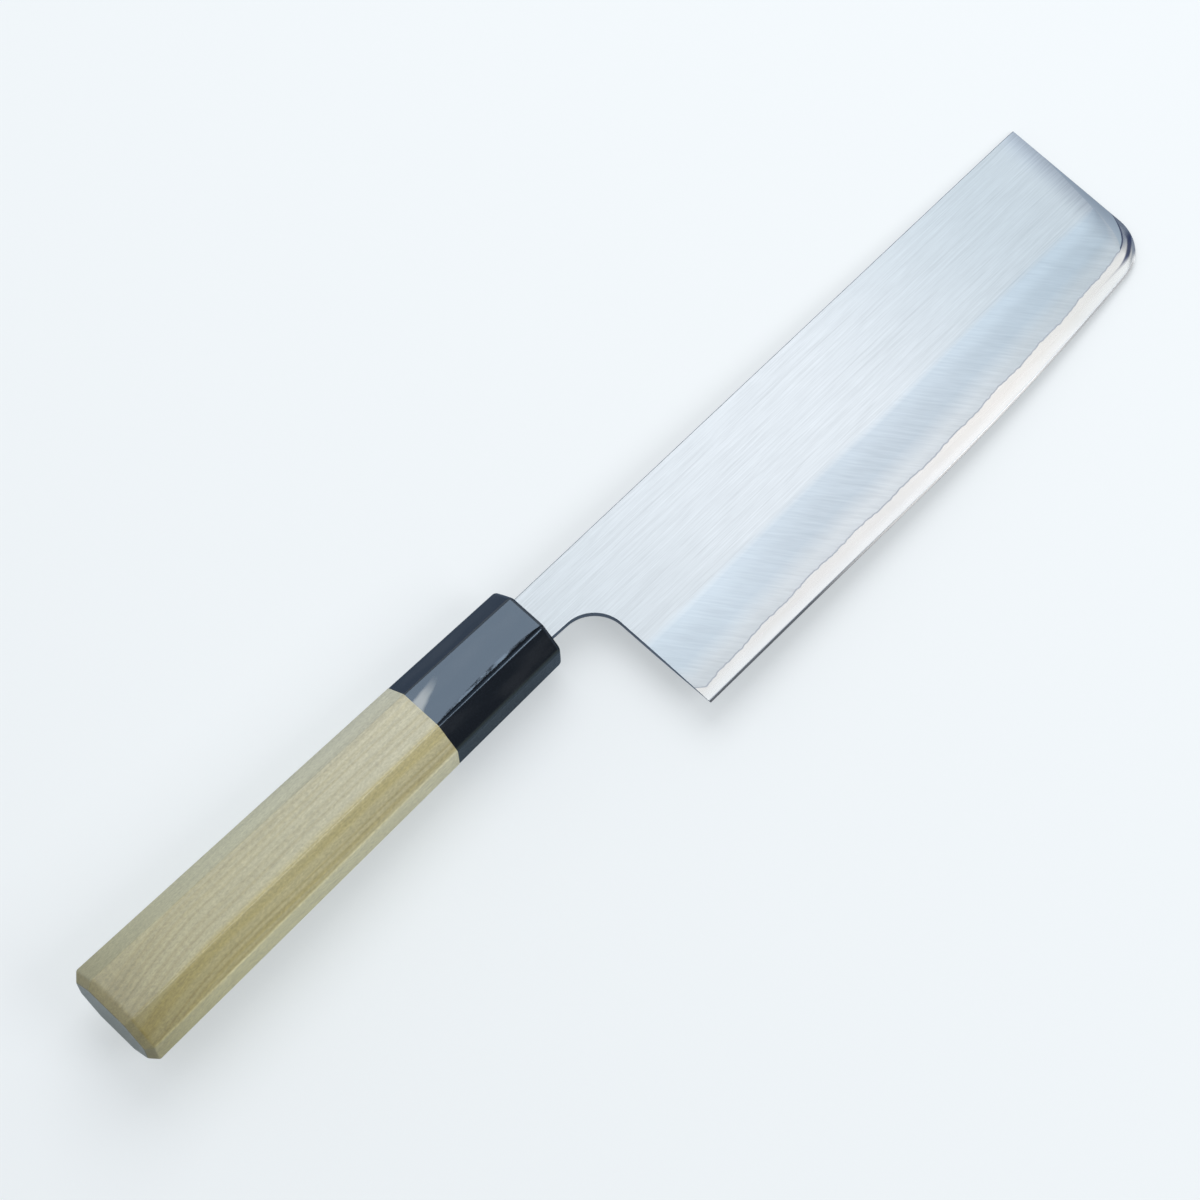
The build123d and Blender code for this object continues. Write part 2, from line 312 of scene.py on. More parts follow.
class Nodes:
    """The nodes of one material or of the world."""

    def __init__(self, owner):
        owner.use_nodes = True
        self.owner = owner
        self.tree = owner.node_tree
        self.tree.nodes.clear()

    def add(self, kind, settings=None, inputs=None, output=0):
        """A node of a type, its settings first, then the values or links of its sockets."""
        node = self.tree.nodes.new("ShaderNode" + kind)
        for name, value in (settings or {}).items():
            if name == "stops":
                self.set_stops(node.color_ramp, value)
            else:
                setattr(node, name, value)
        for name, value in (inputs or {}).items():
            if isinstance(value, Value):
                self.tree.links.new(value.socket, node.inputs[name])
            else:
                node.inputs[name].default_value = value
        return Value(self, node.outputs[output]) if len(node.outputs) else None

    @staticmethod
    def set_stops(ramp, stops):
        while len(ramp.elements) < len(stops):
            ramp.elements.new(0.5)
        for element, (position, tone) in zip(ramp.elements, stops):
            element.position = position
            element.color = (*tone, 1.0)

    def ramp(self, stops, value):
        """A colour from a row of stops, each a position and a colour."""
        return self.add("ValToRGB", {"stops": stops}, {"Fac": value})

    def mix(self, factor, first, second, blend="MIX"):
        """Two colours mixed by a factor."""
        first, second = ((*c, 1.0) if isinstance(c, tuple) else c for c in (first, second))
        settings = {"data_type": "RGBA", "blend_type": blend}
        return self.add("Mix", settings, {0: factor, 6: first, 7: second}, output=2)

    def tint(self, base, tone):
        """A colour multiplied by another."""
        return self.mix(1.0, base, tone, "MULTIPLY")

    def dim(self, base, value):
        """A colour multiplied by a number."""
        return self.tint(base, self.add("CombineColor", None, {0: value, 1: value, 2: value}))

    def split(self, vector):
        """The three numbers of a vector."""
        first = self.add("SeparateXYZ", None, {0: vector})
        return [Value(self, socket) for socket in first.socket.node.outputs]

    def place(self):
        """The point on the surface in the row frame, as three numbers."""
        return self.split(self.add("TexCoord", output=3))

    def seen_by(self, ray):
        """1 for one kind of ray and 0 for all others."""
        return self.add("LightPath", output=ray)

    def attributes(self, *names):
        """Numbers that the mesh keeps at its points."""
        return [self.add("Attribute", {"attribute_name": name}, output=2) for name in names]

    def noise(self, x, y, z, detail=2, roughness=0.5):
        """Noise from 0 to 1 at a point that has already been scaled."""
        point = self.add("CombineXYZ", None, {0: x, 1: y, 2: z})
        inputs = {"Vector": point, "Scale": 1, "Detail": detail, "Roughness": roughness}
        return self.add("TexNoise", {"noise_dimensions": "3D"}, inputs)

    def bump(self, height, distance, **normal):
        inputs = {"Height": height, "Distance": distance, "Strength": 1, **normal}
        return self.add("Bump", None, inputs)

    def surface(self, base, roughness, normal, **others):
        """The Principled shader, linked to the output. Gives the finished material."""
        inputs = {"Base Color": base, "Roughness": roughness, "Normal": normal}
        inputs.update((name.replace("_", " "), value) for name, value in others.items())
        self.add("OutputMaterial", None, {"Surface": self.add("BsdfPrincipled", None, inputs)})
        return self.owner


def new_finish(name):
    """The nodes of a new material, and the point on its surface as three numbers."""
    n = Nodes(bpy.data.materials.new(name))
    return n, *n.place()


# ---------------------------------------------------------------- steel finishes

# Where the weld starts to climb over the front corner, ahead of and below the knife's middle
CORNER_WELD_AHEAD = 149 * MM
CORNER_WELD_BELOW = 19.26 * MM


def dimmed(n, base, x, front, look):
    """Painted shade: steel a little darker toward the tip and the handle, and darker still at the
    rolled front.
    """
    far = n.mix(x.rise(66, 142), (1, 1, 1), look["far_tint"])
    near = n.mix(x.rise(-30, 45), look["near_tint"], far)
    return n.tint(base, n.mix(front.fall(0, 9) ** 1.5, near, look["front_tint"]))


def seam_strength(n, x, y):
    """How strongly the dark line of the weld shows from place to place."""
    return 0.65 + 0.35 * n.noise(x * 900, y * 60, 0)


def brushed_steel(look):
    """Cladding: brushed along the flat, polished across the wide bevel, dark at the weld, with
    painted light and shade in its tones.
    """
    n, x, y, z = new_finish("brushed_cladding_steel")
    bevel, seam, front = n.attributes("bevel_share", "weld_distance", "front_distance")

    hair = n.noise(x * 30, y * 3300, z * 300, 3, 0.7)
    grain = n.noise(x * 150, y * 4300, z * 300)
    lines = n.noise(x * 16, y * 1700, z * 100, 1).smoothly(0.58, 0.80)
    broad = n.noise(x * 9, y * 420, z * 100, 1)
    downward, forward = x * 0.59 - y * 0.81, x * 0.81 + y * 0.59
    cross = n.noise(forward * 2300, downward * 130, z * 300)
    cloud = n.noise(x * 18, y * 45, 0, 1)

    on_flat = bevel.smoothly(0.92, 1.06)
    # The wide bevel's tones are partly its polished finish and partly painted reflection
    stops = (
        (0, "bevel_foot"), (0.145, "bevel_foot"), (0.382, "bevel"), (0.845, "bevel"),
        (0.964, "flat"), (1, "flat"),
    )
    tones = n.ramp([(at, look[tone]) for at, tone in stops], (bevel + (cloud - 0.5) * 0.12) / 1.1)
    brushed = (hair - 0.5) * 0.55 + (grain - 0.5) * 0.30 - lines * 0.08 + (broad - 0.5) * 0.03
    # Painted light: the bevel lighter and darker along the blade
    lift = 0.085 - x.rise(10, 45) * 0.12 + x.rise(82, 112) * 0.035
    far_rise = x.rise(70, 112) * 0.06 + 0.05
    lift = lift * bevel.smoothly(0.05, 0.35) + far_rise * bevel.smoothly(0.6, 0.88)
    base = n.dim(tones, 0.96 + brushed * on_flat + ((cross - 0.5) * 0.26 + lift) * (1 - on_flat))
    base = dimmed(n, base, x, front, look)
    line = seam.fall(0, 0.16) * seam_strength(n, x, y) * y.fall(-18.7, -17.9)
    base = n.mix(line, base, look["seam"])

    roughness = look["roughness"] + (hair - 0.5) * 0.16 * on_flat - 0.06 * (1 - on_flat)
    height = hair * on_flat + cross * 0.6 * (1 - on_flat)
    return n.surface(base, roughness, n.bump(height, 0.0015 * MM), Metallic=1)


def polished_core(look):
    """Core: polished brighter than the cladding, with painted reflection in its tone and in the
    fine lines along the edge bevel, and painted shade and a dark streak where it rolls over the
    front corner."""
    n, x, y, z = new_finish("polished_core_steel")
    edge, seam, front = n.attributes("edge_distance", "weld_distance", "front_distance")
    fine = n.noise(x * 60, y * 1500, z * 300, 1)
    cloud = n.noise(x * 160, y * 300, 0, 1)
    # Painted reflection: the core a little darker toward the weld, brighter at the heel, and
    # brighter and warmer toward the front
    warm = n.mix(edge.rise(1.2, 3.6), look["core"], look["warm_core"])
    base = n.dim(warm, 1.04 - x.rise(0, 32) * 0.06 + (fine - 0.5) * 0.10 + (cloud - 0.5) * 0.08)
    base = n.tint(base, n.mix(x.rise(58, 118), (0.93, 0.93, 0.93), (1.09, 1.04, 1)))

    # the weld's last stretch, where it climbs over the front corner to the edge
    run = x - CORNER_WELD_AHEAD
    over = y + CORNER_WELD_BELOW - run * 0.28 - run * run * run * 13700
    over = over * (1 - run.rise(1, 6) * 0.45)
    near_front = run.rise(0.3, 1)
    clad = over.rise(-0.12, 0.12) * near_front
    climb = (1 - (over * over).smoothly((0.06 * MM) ** 2, (0.26 * MM) ** 2)) * near_front
    base = n.mix(clad, base, look["bevel"])
    base = dimmed(n, base, x, front, look)
    # Painted shade: the core darker toward the top of the rolled front corner
    shaded = y.rise(-20.6, -17.2) * (1 - clad)
    base = n.mix(shaded * 0.8, base, look["corner_shade"])
    weld = (0 - seam).fall(0.16, 0.34) * (1 - near_front)
    base = n.mix(weld * seam_strength(n, x, y), base, look["seam"])
    base = n.mix(climb * 0.85, base, look["rim_shade"])

    # painted reflection: fine lines along both borders of the small edge bevel, with a pale gap
    # between them
    bevel_width = 0.7 * MM + x.rise(55, 80) * 0.12 * MM
    inside = edge / bevel_width
    on_corner = y.rise(-23.4, -21.4)
    bevelled = (1 - inside.smoothly(0.95, 1.15)) * (1 - on_corner)
    between = inside.smoothly(0.12, 0.30) * (1 - inside.smoothly(0.62, 0.82))
    forward = x.rise(25, 60)
    faint = n.mix(inside.smoothly(0.3, 0.6), look["faint_edge_line"], look["inner_edge_line"])
    thin = n.mix(forward, look["edge_line"], faint)
    gap = n.mix(x.rise(100, 130), look["edge_gap"], look["far_edge_gap"])
    base = n.mix(bevelled, base, n.mix(between * forward, thin, gap))

    # painted shade: dark rim and streak on the rolled corner
    rim = on_corner * (1 - inside.smoothly(0.7, 1.5)) * (1 - clad)
    base = n.mix(rim * 0.85, base, look["corner_shade"])
    off_streak = edge - (1.98 * MM - (y + 21.5 * MM) * 0.36).at_least(0.8 * MM)
    streak = 1 - (off_streak * off_streak).smoothly((0.3 * MM) ** 2, (0.95 * MM) ** 2)
    streak = streak * y.rise(-22.8, -21.4) * y.fall(-18.6, -15.6)
    base = n.mix(streak * 0.92, base, look["rim_shade"])
    roughness = 0.28 + clad * 0.07 + (fine - 0.5) * 0.08
    return n.surface(base, roughness, n.bump(fine, 0.0006 * MM), Metallic=1)


def rim_steel(look):
    """The narrow faces of heel, choil, neck and spine, ground along their length."""
    n, x, y, z = new_finish("ground_rim_steel")
    lines = n.noise(x * 150 + y * 120, z * 5200, 0)
    base = n.dim(look["rim"], 0.8 + lines * 0.4)
    return n.surface(base, 0.35 + lines * 0.2, n.bump(lines, 0.004 * MM), Metallic=1)


# ---------------------------------------------------------------- handle finishes

# The handle in the row frame: how far its axis lies above the middle, and its butt and its joint
# behind it
AXIS_ABOVE = 15.67 * MM
BUTT_BEHIND = 157.7 * MM
JOINT_BEHIND = 58.4 * MM
# Where the growth lines start to run out toward the butt, and how fast
BEND_START = -128 * MM
BEND_RUN = 29.5 * MM
# Heights on the ferrule at the joint: its painted highlight and its two near arrises
STREAK_ABOVE = 16.9 * MM
SIDE_ARRIS = 4.9 * MM
TOP_ARRIS = 10.02 * MM
# How fast the arrises of the top facet and of the side drop along the handle
TOP_TAPER = 0.01
SIDE_TAPER = 0.0167

PALE, SOFT, GOLDEN, DARK = "pale_wood", "soft_line", "golden_wood", "dark_wood"
# Bands of the wood from the near side over the top to the far side, in millimetres
WOOD_BANDS = (
    (-11, PALE), (-6.4, PALE), (-5.7, SOFT), (-5, PALE), (-4.6, GOLDEN), (-4.1, DARK),
    (-3.6, PALE), (-3.2, PALE), (-2.9, DARK), (-2.4, PALE), (-1.3, PALE), (-0.3, GOLDEN),
    (1.8, GOLDEN), (3, PALE), (4.1, PALE), (4.7, SOFT), (5.3, PALE), (6.4, SOFT), (7, PALE),
    (8.2, PALE), (8.6, SOFT), (9.1, PALE), (10.2, SOFT), (10.7, PALE), (11.9, SOFT),
    (12.4, PALE), (13.2, SOFT), (13.7, PALE), (18, PALE),
)
# Painted shade: how the wood darkens and warms along the grip toward the butt, at distances from
# the butt in millimetres
WOOD_GRADES = (
    (0, (0.58, 0.545, 0.43)), (6, (0.645, 0.62, 0.51)), (13, (0.74, 0.72, 0.62)),
    (23, (0.815, 0.80, 0.72)), (38, (0.865, 0.858, 0.81)), (54, (0.893, 0.893, 0.875)),
    (86, (0.938, 0.938, 0.982)), (100, (0.955, 0.955, 1)),
)


def magnolia_wood(look):
    """Pale greenish wood with long growth lines that run out near the butt, with painted light on
    its facets and painted shade toward the butt.
    """
    n, x, y, z = new_finish("pale_magnolia_wood")
    off_axis = y - AXIS_ABOVE
    sway = n.noise(x * 9, y * 45, z * 45)
    bend = ((BEND_START - x) / BEND_RUN).at_least(0) ** 1.6
    across = off_axis * 0.9 + z * 0.35 + bend * 0.0042 + (sway - 0.5) * 0.0022
    first, last = WOOD_BANDS[0][0], WOOD_BANDS[-1][0]
    bands = [((place - first) / (last - first), look[tone]) for place, tone in WOOD_BANDS]
    tone = n.ramp(bands, (across - first * MM) / ((last - first) * MM))
    strength = n.noise(x * 22, across * 260, 0)
    tone = n.mix((strength - 0.35) * 1.3, tone, look["pale_wood"])
    from_butt = x + BUTT_BEHIND
    far_facet = (off_axis + from_butt * TOP_TAPER).rise(6.2, 7.1)
    near_facet = (off_axis - from_butt * TOP_TAPER).fall(-6.7, -6.1)
    near_side = (off_axis - from_butt * SIDE_TAPER).fall(-13.1, -12.7)
    # Painted light: each facet toned for how light falls on it, the far facet and the near narrow
    # side paler, the near slanted facet warmer and brighter
    tone = n.mix(far_facet * 0.5 + near_side * 0.6, tone, look["side_wood"])
    tone = n.mix(near_facet * 0.4, tone, look["golden_wood"])
    grade_end = WOOD_GRADES[-1][0]
    grades = [(place / grade_end, grade) for place, grade in WOOD_GRADES]
    tone = n.tint(tone, n.ramp(grades, from_butt / (grade_end * MM)))
    tone = n.dim(tone, 1 + far_facet * 0.08 + near_facet * 0.21 + near_side * 0.50)
    # The sawn face: end grain, its dark grey partly painted shade, with a dark line drawn round it
    face = x.fall(-157.62, -157.45)
    tone = n.mix(x.fall(-156.1, -155.6) * 0.9, tone, look["end_grain"])
    tone = n.mix(face, tone, look["butt_face"])
    tone = n.mix(face * (1 - face) * 2.6, tone, look["butt_line"])

    vague = n.noise(x * 13, across * 540, 3, 3, 0.6)
    fibre = n.noise(x * 90, across * 5600, z * 2500, 3, 0.6)
    fleck = n.noise(x * 1100, y * 1900, z * 1900, 2, 0.7)
    pores = n.noise(x * 260, y * 6000, z * 6000, 1).smoothly(0.62, 0.75)
    shade = 1.04 + (vague - 0.5) * 0.42 + (fibre - 0.5) * 0.42 + (fleck - 0.5) * 0.85 - pores * 0.06
    normal = n.bump(fibre * 0.7 + fleck * 0.4 - pores, 0.009 * MM)
    return n.surface(
        n.dim(tone, shade), 0.30 + fibre * 0.10, normal,
        Specular_IOR_Level=1, Specular_Tint=(0.85, 0.93, 1, 1),
    )


def black_horn(look):
    """Buffed buffalo horn: nearly black and faintly cloudy, with a painted highlight by the joint
    and a painted reflection on its near narrow side.
    """
    n, x, y, z = new_finish("black_buffalo_horn")
    cloud = n.noise(x * 60, y * 260, z * 260, 3)
    speck = n.noise(x * 1500, y * 1500, z * 1500)
    ripple = n.noise(x * 190, y * 300, z * 300, 1)
    base = n.mix(cloud.smoothly(0.45, 0.75), look["horn"], (0.018, 0.020, 0.024))
    # Painted highlight: a pale streak across the top facet by the joint
    from_joint = x + JOINT_BEHIND
    width = 2 * MM - from_joint * 0.12
    beside = (y - STREAK_ABOVE - from_joint * 0.26) / width + (ripple - 0.5) * 0.9
    streak = (1 - (beside * beside).smoothly(0.1, 1)) * from_joint.fall(1.5, 9) * z.rise(20.2, 20.7)
    base = n.mix(streak, base, look["horn_streak"])
    # Painted reflection: the near narrow side greyer where it shows the floor
    side = (y - SIDE_ARRIS - from_joint * SIDE_TAPER).fall(-0.4, 0)
    base = n.mix(side, base, look["horn_side"])
    # the top facet seems to dip toward its near arris, most in the middle of the ferrule
    off_arris = y - TOP_ARRIS - from_joint * TOP_TAPER
    middle = from_joint - 17 * MM
    width = 1.55 * MM - middle * middle * 3.6 + (ripple - 0.5) * 0.5 * MM
    dip = (width - off_arris.at_least(0)).at_least(0) * off_arris.rise(-0.2, 0)
    hollow = n.bump(0 - dip / MM, 0.8 * MM)
    normal = n.bump(speck + cloud * 0.8, 0.014 * MM, Normal=hollow)
    return n.surface(
        base, 0.11 + cloud * 0.06 + speck * 0.05, normal,
        IOR=1.7, Specular_IOR_Level=0.55, Specular_Tint=(0.58, 0.77, 1, 1),
    )


def set_adhesive(look):
    """The bedding of the tang."""
    n, x, y, z = new_finish("set_adhesive")
    grain = n.noise(x * 900, y * 900, z * 900, 3)
    base = n.mix(grain, look["bedding"], (0.20, 0.17, 0.13))
    return n.surface(base, 0.45 + grain * 0.2, n.bump(grain, 0.05 * MM))


def look_of(group):
    """A property group's values by name, its colours as tuples."""
    values = {name: getattr(group, name) for name in type(group).__annotations__}
    return {name: v if isinstance(v, float) else tuple(v) for name, v in values.items()}


# ---------------------------------------------------------------- blade form


BLEND = 0.008 * MM
RIM_BLEND = 0.006 * MM
LEAST_ROLL = 1e-6
# How fast the steel would still thicken above the shinogi, which smooths the ridge
RISE_PAST_SHINOGI = 0.4 * MM
# The welds are flat in the tang and the neck, and reach their full waves this far past the heel
WELDS_START = 2 * MM
# Small unevenness of the welds: wavelengths in millimetres, and weights
JITTER = ((5.3, 0.55), (3.1, 0.5), (2.3, 0.45), (1.6, 0.3))


def part_way(first, last, run):
    """A value part of the way from the first to the last."""
    return first + (last - first) * run


def smooth_least(first, second, reach):
    """The smaller of two arrays, rounded where they come within reach of each other."""
    near = np.maximum(reach - np.abs(first - second), 0.0)
    return np.minimum(first, second) - near * near / (4.0 * reach)


class BladeForm:
    """The blade's outline and half thickness, worked out from its sizes."""

    def __init__(self, s):
        self.s = s
        self.front_turn = math.pi / 2 - s.front_lean
        belly_run = s.belly_radius * math.sin(s.belly_angle)
        belly_rise = s.belly_radius * (1 - math.cos(s.belly_angle))
        corner_run = s.corner_radius * (math.sin(self.front_turn) - math.sin(s.belly_angle))
        corner_rise = s.corner_radius * (math.cos(s.belly_angle) - math.cos(self.front_turn))
        self.front_rise = s.blade_height - belly_rise - corner_rise
        front_run = self.front_rise * math.tan(s.front_lean)
        self.flat_length = s.blade_length - belly_run - corner_run - front_run
        self.belly_end = np.array((self.flat_length + belly_run, belly_rise))
        inward = np.array((-math.sin(s.belly_angle), math.cos(s.belly_angle)))
        self.corner_centre = self.belly_end + s.corner_radius * inward
        self.corner_end = self.belly_end + np.array((corner_run, corner_rise))
        self.belly_length = s.belly_radius * s.belly_angle
        self.corner_length = s.corner_radius * (self.front_turn - s.belly_angle)
        self.corner_start = self.flat_length + self.belly_length
        self.edge_slope = math.tan(s.edge_bevel_angle)
        self.core_slope = math.tan(s.core_grind_angle)
        self.core_start = s.edge_land / 2 + s.edge_bevel_width * (self.edge_slope - self.core_slope)

    def edge_points(self, along):
        """Points of the cutting edge, from their distances along it."""
        s = self.s
        on_belly = np.clip(along - self.flat_length, 0.0, self.belly_length) / s.belly_radius
        x = np.minimum(along, self.flat_length) + s.belly_radius * np.sin(on_belly)
        y = s.belly_radius * (1 - np.cos(on_belly))
        turn = s.belly_angle + np.maximum(along - self.corner_start, 0.0) / s.corner_radius
        x = x + s.corner_radius * (np.sin(turn) - math.sin(s.belly_angle))
        y = y + s.corner_radius * (math.cos(s.belly_angle) - np.cos(turn))
        return x, y

    def edge_distances(self, x, y):
        """Distance to the rounded edge, and to the edge run straight on past the belly."""
        s = self.s
        turn = np.arctan2(x - self.flat_length, s.belly_radius - y)
        on_belly = s.belly_radius - np.hypot(x - self.flat_length, s.belly_radius - y)
        end_normal = (-math.sin(s.belly_angle), math.cos(s.belly_angle))
        beyond = (x - self.belly_end[0]) * end_normal[0] + (y - self.belly_end[1]) * end_normal[1]
        past_flat = np.where(turn < s.belly_angle, on_belly, beyond)
        straight = np.where(x < self.flat_length, y, past_flat)
        dx, dy = x - self.corner_centre[0], self.corner_centre[1] - y
        turn = np.arctan2(dx, dy)
        in_corner = (turn > s.belly_angle) & (turn < self.front_turn + 0.2) & (dx > 0)
        rounded = np.where(in_corner, s.corner_radius - np.hypot(dx, dy), straight)
        return rounded, straight

    def front_distance(self, x, y):
        """Distance to the line of the front end, and how far up it the point is."""
        along = (math.sin(self.s.front_lean), math.cos(self.s.front_lean))
        dx, dy = x - self.corner_end[0], y - self.corner_end[1]
        return dy * along[0] - dx * along[1], dx * along[0] + dy * along[1]

    def shinogi_height(self, x):
        s = self.s
        return part_way(s.heel_shinogi_height, s.tip_shinogi_height, x / s.blade_length)

    def full_half(self, x):
        """Half the thickness before grinding."""
        s = self.s
        places = (-s.neck_length - s.tang_length, -s.neck_length, 0, s.blade_length)
        spine = s.spine_thickness
        full = np.array((s.tang_end_thickness, spine, spine, s.tip_thickness))
        return np.interp(x, places, full / 2)

    def half_thickness(self, x, y):
        """Half the thickness of the ground blade."""
        s = self.s
        full = self.full_half(x)
        foot = self.core_start + self.core_slope * s.bevel_foot_height
        up = (y - s.bevel_foot_height) / (self.shinogi_height(x) - s.bevel_foot_height)
        bevel = part_way(foot, full, up) + 4 * s.bevel_crown * up * (1 - up)
        bevel = np.where(up > 1, full + (up - 1) * RISE_PAST_SHINOGI, bevel)
        rounded, straight = self.edge_distances(x, y)
        core = self.core_start + self.core_slope * straight
        ground = smooth_least(smooth_least(full, bevel, BLEND), core, BLEND)
        inward, upward = self.front_distance(x, y)
        climb = np.clip(upward / self.front_rise, 0.0, 1.0)
        rim = s.edge_land / 2 + (s.front_thickness - s.edge_land) / 2 * climb
        from_rim = np.maximum(np.where(upward > 0, inward, rounded), 0.0)
        turn = np.arctan2(x - self.corner_centre[0], self.corner_centre[1] - y)
        round_corner = (turn - s.belly_angle) / (self.front_turn - s.belly_angle)
        corner = np.where(upward > 0, 1.0, np.clip(round_corner, 0.0, 1.0))
        width = s.roll_width * (corner * corner * (3 - 2 * corner)) * (1 - s.roll_narrowing * climb)
        roll = np.clip(1 - from_rim / np.maximum(width, LEAST_ROLL), 0.0, 1.0) ** 2
        rolled = ground - (ground - rim) * roll
        return smooth_least(rolled, rim + self.edge_slope * from_rim, RIM_BLEND)

    def weld_half(self, x, phase):
        """Height of a weld above the blade's middle plane."""
        s = self.s
        wave = s.long_ripple_share * np.sin(2 * np.pi * (x / s.long_ripple + phase))
        wave = wave + s.short_ripple_share * np.sin(2 * np.pi * (x / s.short_ripple + 2 * phase))
        dip = s.heel_dip_depth * np.exp(-np.abs(x - s.heel_dip_place) / s.heel_dip_length)
        jitter = sum(
            weight * np.sin(2 * np.pi * (x / (wavelength * MM) + phase * number * number))
            for number, (wavelength, weight) in enumerate(JITTER, start=2)
        )
        uneven = s.ripple_depth * wave - dip + s.jitter_depth * jitter
        return s.core_thickness / 2 + uneven * np.clip(x / WELDS_START, 0.0, 1.0)


ROWS_BELOW_WELD = 5
ROWS_TO_SHINOGI = 16
ROWS_ON_FLAT = 10
EDGE_ROWS = (0.0, 0.12 * MM, 0.3 * MM, 0.48 * MM, 0.54 * MM, 0.60 * MM, 0.75 * MM)
SEAM_ROWS = (0.0, 0.12 * MM, 0.24 * MM, 0.36 * MM, 0.5 * MM, 0.8 * MM)
LEAST_GAP = 0.03 * MM
SHINOGI_ROWS = (-0.8 * MM, -0.3 * MM, 0.3 * MM, 0.8 * MM)
CHOIL_ROWS = 4
# The last row below the spine's ease, and the band whose rows follow the spine along the neck
EASE_START = 0.25 * MM
EASE_ROWS = 0.3 * MM
COLUMN_STEP = 0.45 * MM
# Up to here from the heel the columns stand twice as close
FINE_COLUMNS = 7 * MM
# The columns of the round corner fan out over this much of the spine
FAN_TOP = 6.5 * MM
# Points at which each column is searched for the weld
RISE_STEPS = 900
FAN_COLUMNS = 44
CHOIL_COLUMNS = 25
NECK_COLUMNS = 9
EASED_COLUMNS = 12
TANG_COLUMNS = 24
TANG_STEP = 0.02 * MM


def between(start, end, count):
    """Rows from the start on, in even steps toward the end, which is left out."""
    return [start + (end - start) * number / count for number in range(count)]


class BladeSheet:
    """One side of the blade as two grids of points seen from the right, with rows from the edge
    to the spine: the blade's columns run from the heel to the front, and the neck's, which has
    only the upper rows, from the heel back to the tang's end."""

    def __init__(self, form, phase, axis_height):
        self.form = form
        self.phase = phase
        s = form.s
        bottoms, tops = self.columns()
        climb = tops - bottoms
        rise = np.linspace(0.0, 1.0, RISE_STEPS) ** 1.6
        x = bottoms[:, :1] + climb[:, :1] * rise
        y = bottoms[:, 1:] + climb[:, 1:] * rise
        span = np.hypot(*climb.T)
        half = form.half_thickness(x, y)
        weld = form.weld_half(x, phase)
        first = np.argmax(half >= weld, axis=1)
        pick = np.arange(len(first))
        before = (weld - half)[pick, first - 1]
        after = (half - weld)[pick, first]
        part = before / (before + after)
        weld_rise = part_way(rise[first - 1], rise[first], part) * span

        shinogi = (form.shinogi_height(x[:, 0]) - bottoms[:, 1]) / climb[:, 1] * span
        fillet = (self.choil_arc()[0][1] - bottoms[:, 1]) / climb[:, 1] * span
        rows = [np.minimum(row, weld_rise * (0.1 + 0.08 * k)) for k, row in enumerate(EDGE_ROWS)]
        rows[0] = np.zeros_like(span)
        last = rows[-1]
        rows += between(last, weld_rise, ROWS_BELOW_WELD)[1:]
        rows.append(np.maximum(weld_rise - 0.08 * MM, part_way(last, weld_rise, 0.9)))
        self.weld_row = len(rows)
        rows += [weld_rise + row for row in SEAM_ROWS]
        rows += between(rows[-1], shinogi + SHINOGI_ROWS[0], ROWS_TO_SHINOGI)[1:]
        rows += [shinogi + row for row in SHINOGI_ROWS]
        rows += between(rows[-1], fillet, CHOIL_ROWS)[1:]
        self.choil_row = len(rows)
        rows += between(fillet, span - EASE_START, ROWS_ON_FLAT)
        rows += [span - ease for ease in (EASE_START, s.spine_ease, s.spine_ease * 0.45, 0)]
        rows = np.array(rows)
        for number in range(self.weld_row + 1, len(rows)):
            rows[number] = np.maximum(rows[number], rows[number - 1] + LEAST_GAP)
        over = rows[-1] / span
        upper = rows[self.weld_row:] - rows[self.weld_row]
        upper *= (span - rows[self.weld_row]) / upper[-1]
        squeezed = np.where(over > 1.0001, rows[self.weld_row] + upper, rows[self.weld_row:])
        rows[self.weld_row:] = squeezed
        self.blade = bottoms + climb * (rows / span)[..., None]
        self.weld_distance = rows - rows[self.weld_row]
        self.neck = self.neck_points(axis_height)

    def columns(self):
        """Lower and upper ends of the columns from the heel to the front end."""
        form, s = self.form, self.form.s
        start = form.corner_start
        fine = np.arange(0.0, FINE_COLUMNS, COLUMN_STEP / 2)
        even = np.linspace(FINE_COLUMNS, start, round((start - FINE_COLUMNS) / COLUMN_STEP))
        fan = np.linspace(0.0, 1.0, FAN_COLUMNS + 1)[1:]
        along = np.concatenate((fine, even, start + form.corner_length * fan))
        bottoms = np.stack(form.edge_points(along), axis=1)
        lean = s.blade_height * math.tan(s.heel_lean)
        fan_top = s.blade_length - FAN_TOP
        top = lean + along / start * (fan_top - lean)
        run = (along - start) / form.corner_length
        fanned = part_way(fan_top, s.blade_length, 1 - (1 - np.clip(run, 0, 1)) ** 1.5)
        top = np.where(run > 0, fanned, top)
        tops = np.stack((top, np.full_like(top, s.blade_height)), axis=1)
        return bottoms, tops

    def choil_arc(self):
        """The choil from the heel line to the neck's lower line."""
        s = self.form.s
        neck_bottom = s.blade_height - s.neck_height
        corner = np.array((
            neck_bottom * math.tan(s.heel_lean),
            neck_bottom - s.neck_length * math.tan(s.neck_slope),
        ))
        down = -np.array((math.sin(s.heel_lean), math.cos(s.heel_lean)))
        back = np.array((-s.neck_length, neck_bottom)) - corner
        back /= np.hypot(*back)
        opening = math.acos(float(down @ back))
        middle = (down + back) / np.hypot(*(down + back))
        centre = corner + middle * s.choil_radius / math.sin(opening / 2)
        start = corner + down * s.choil_radius / math.tan(opening / 2)
        end = corner + back * s.choil_radius / math.tan(opening / 2)
        first = math.atan2(*(start - centre)[::-1])
        last = math.atan2(*(end - centre)[::-1])
        turn = (last - first + math.pi) % (2 * math.pi) - math.pi
        angles = first + turn * np.linspace(0, 1, CHOIL_COLUMNS)
        return centre + s.choil_radius * np.stack((np.cos(angles), np.sin(angles)), axis=1)

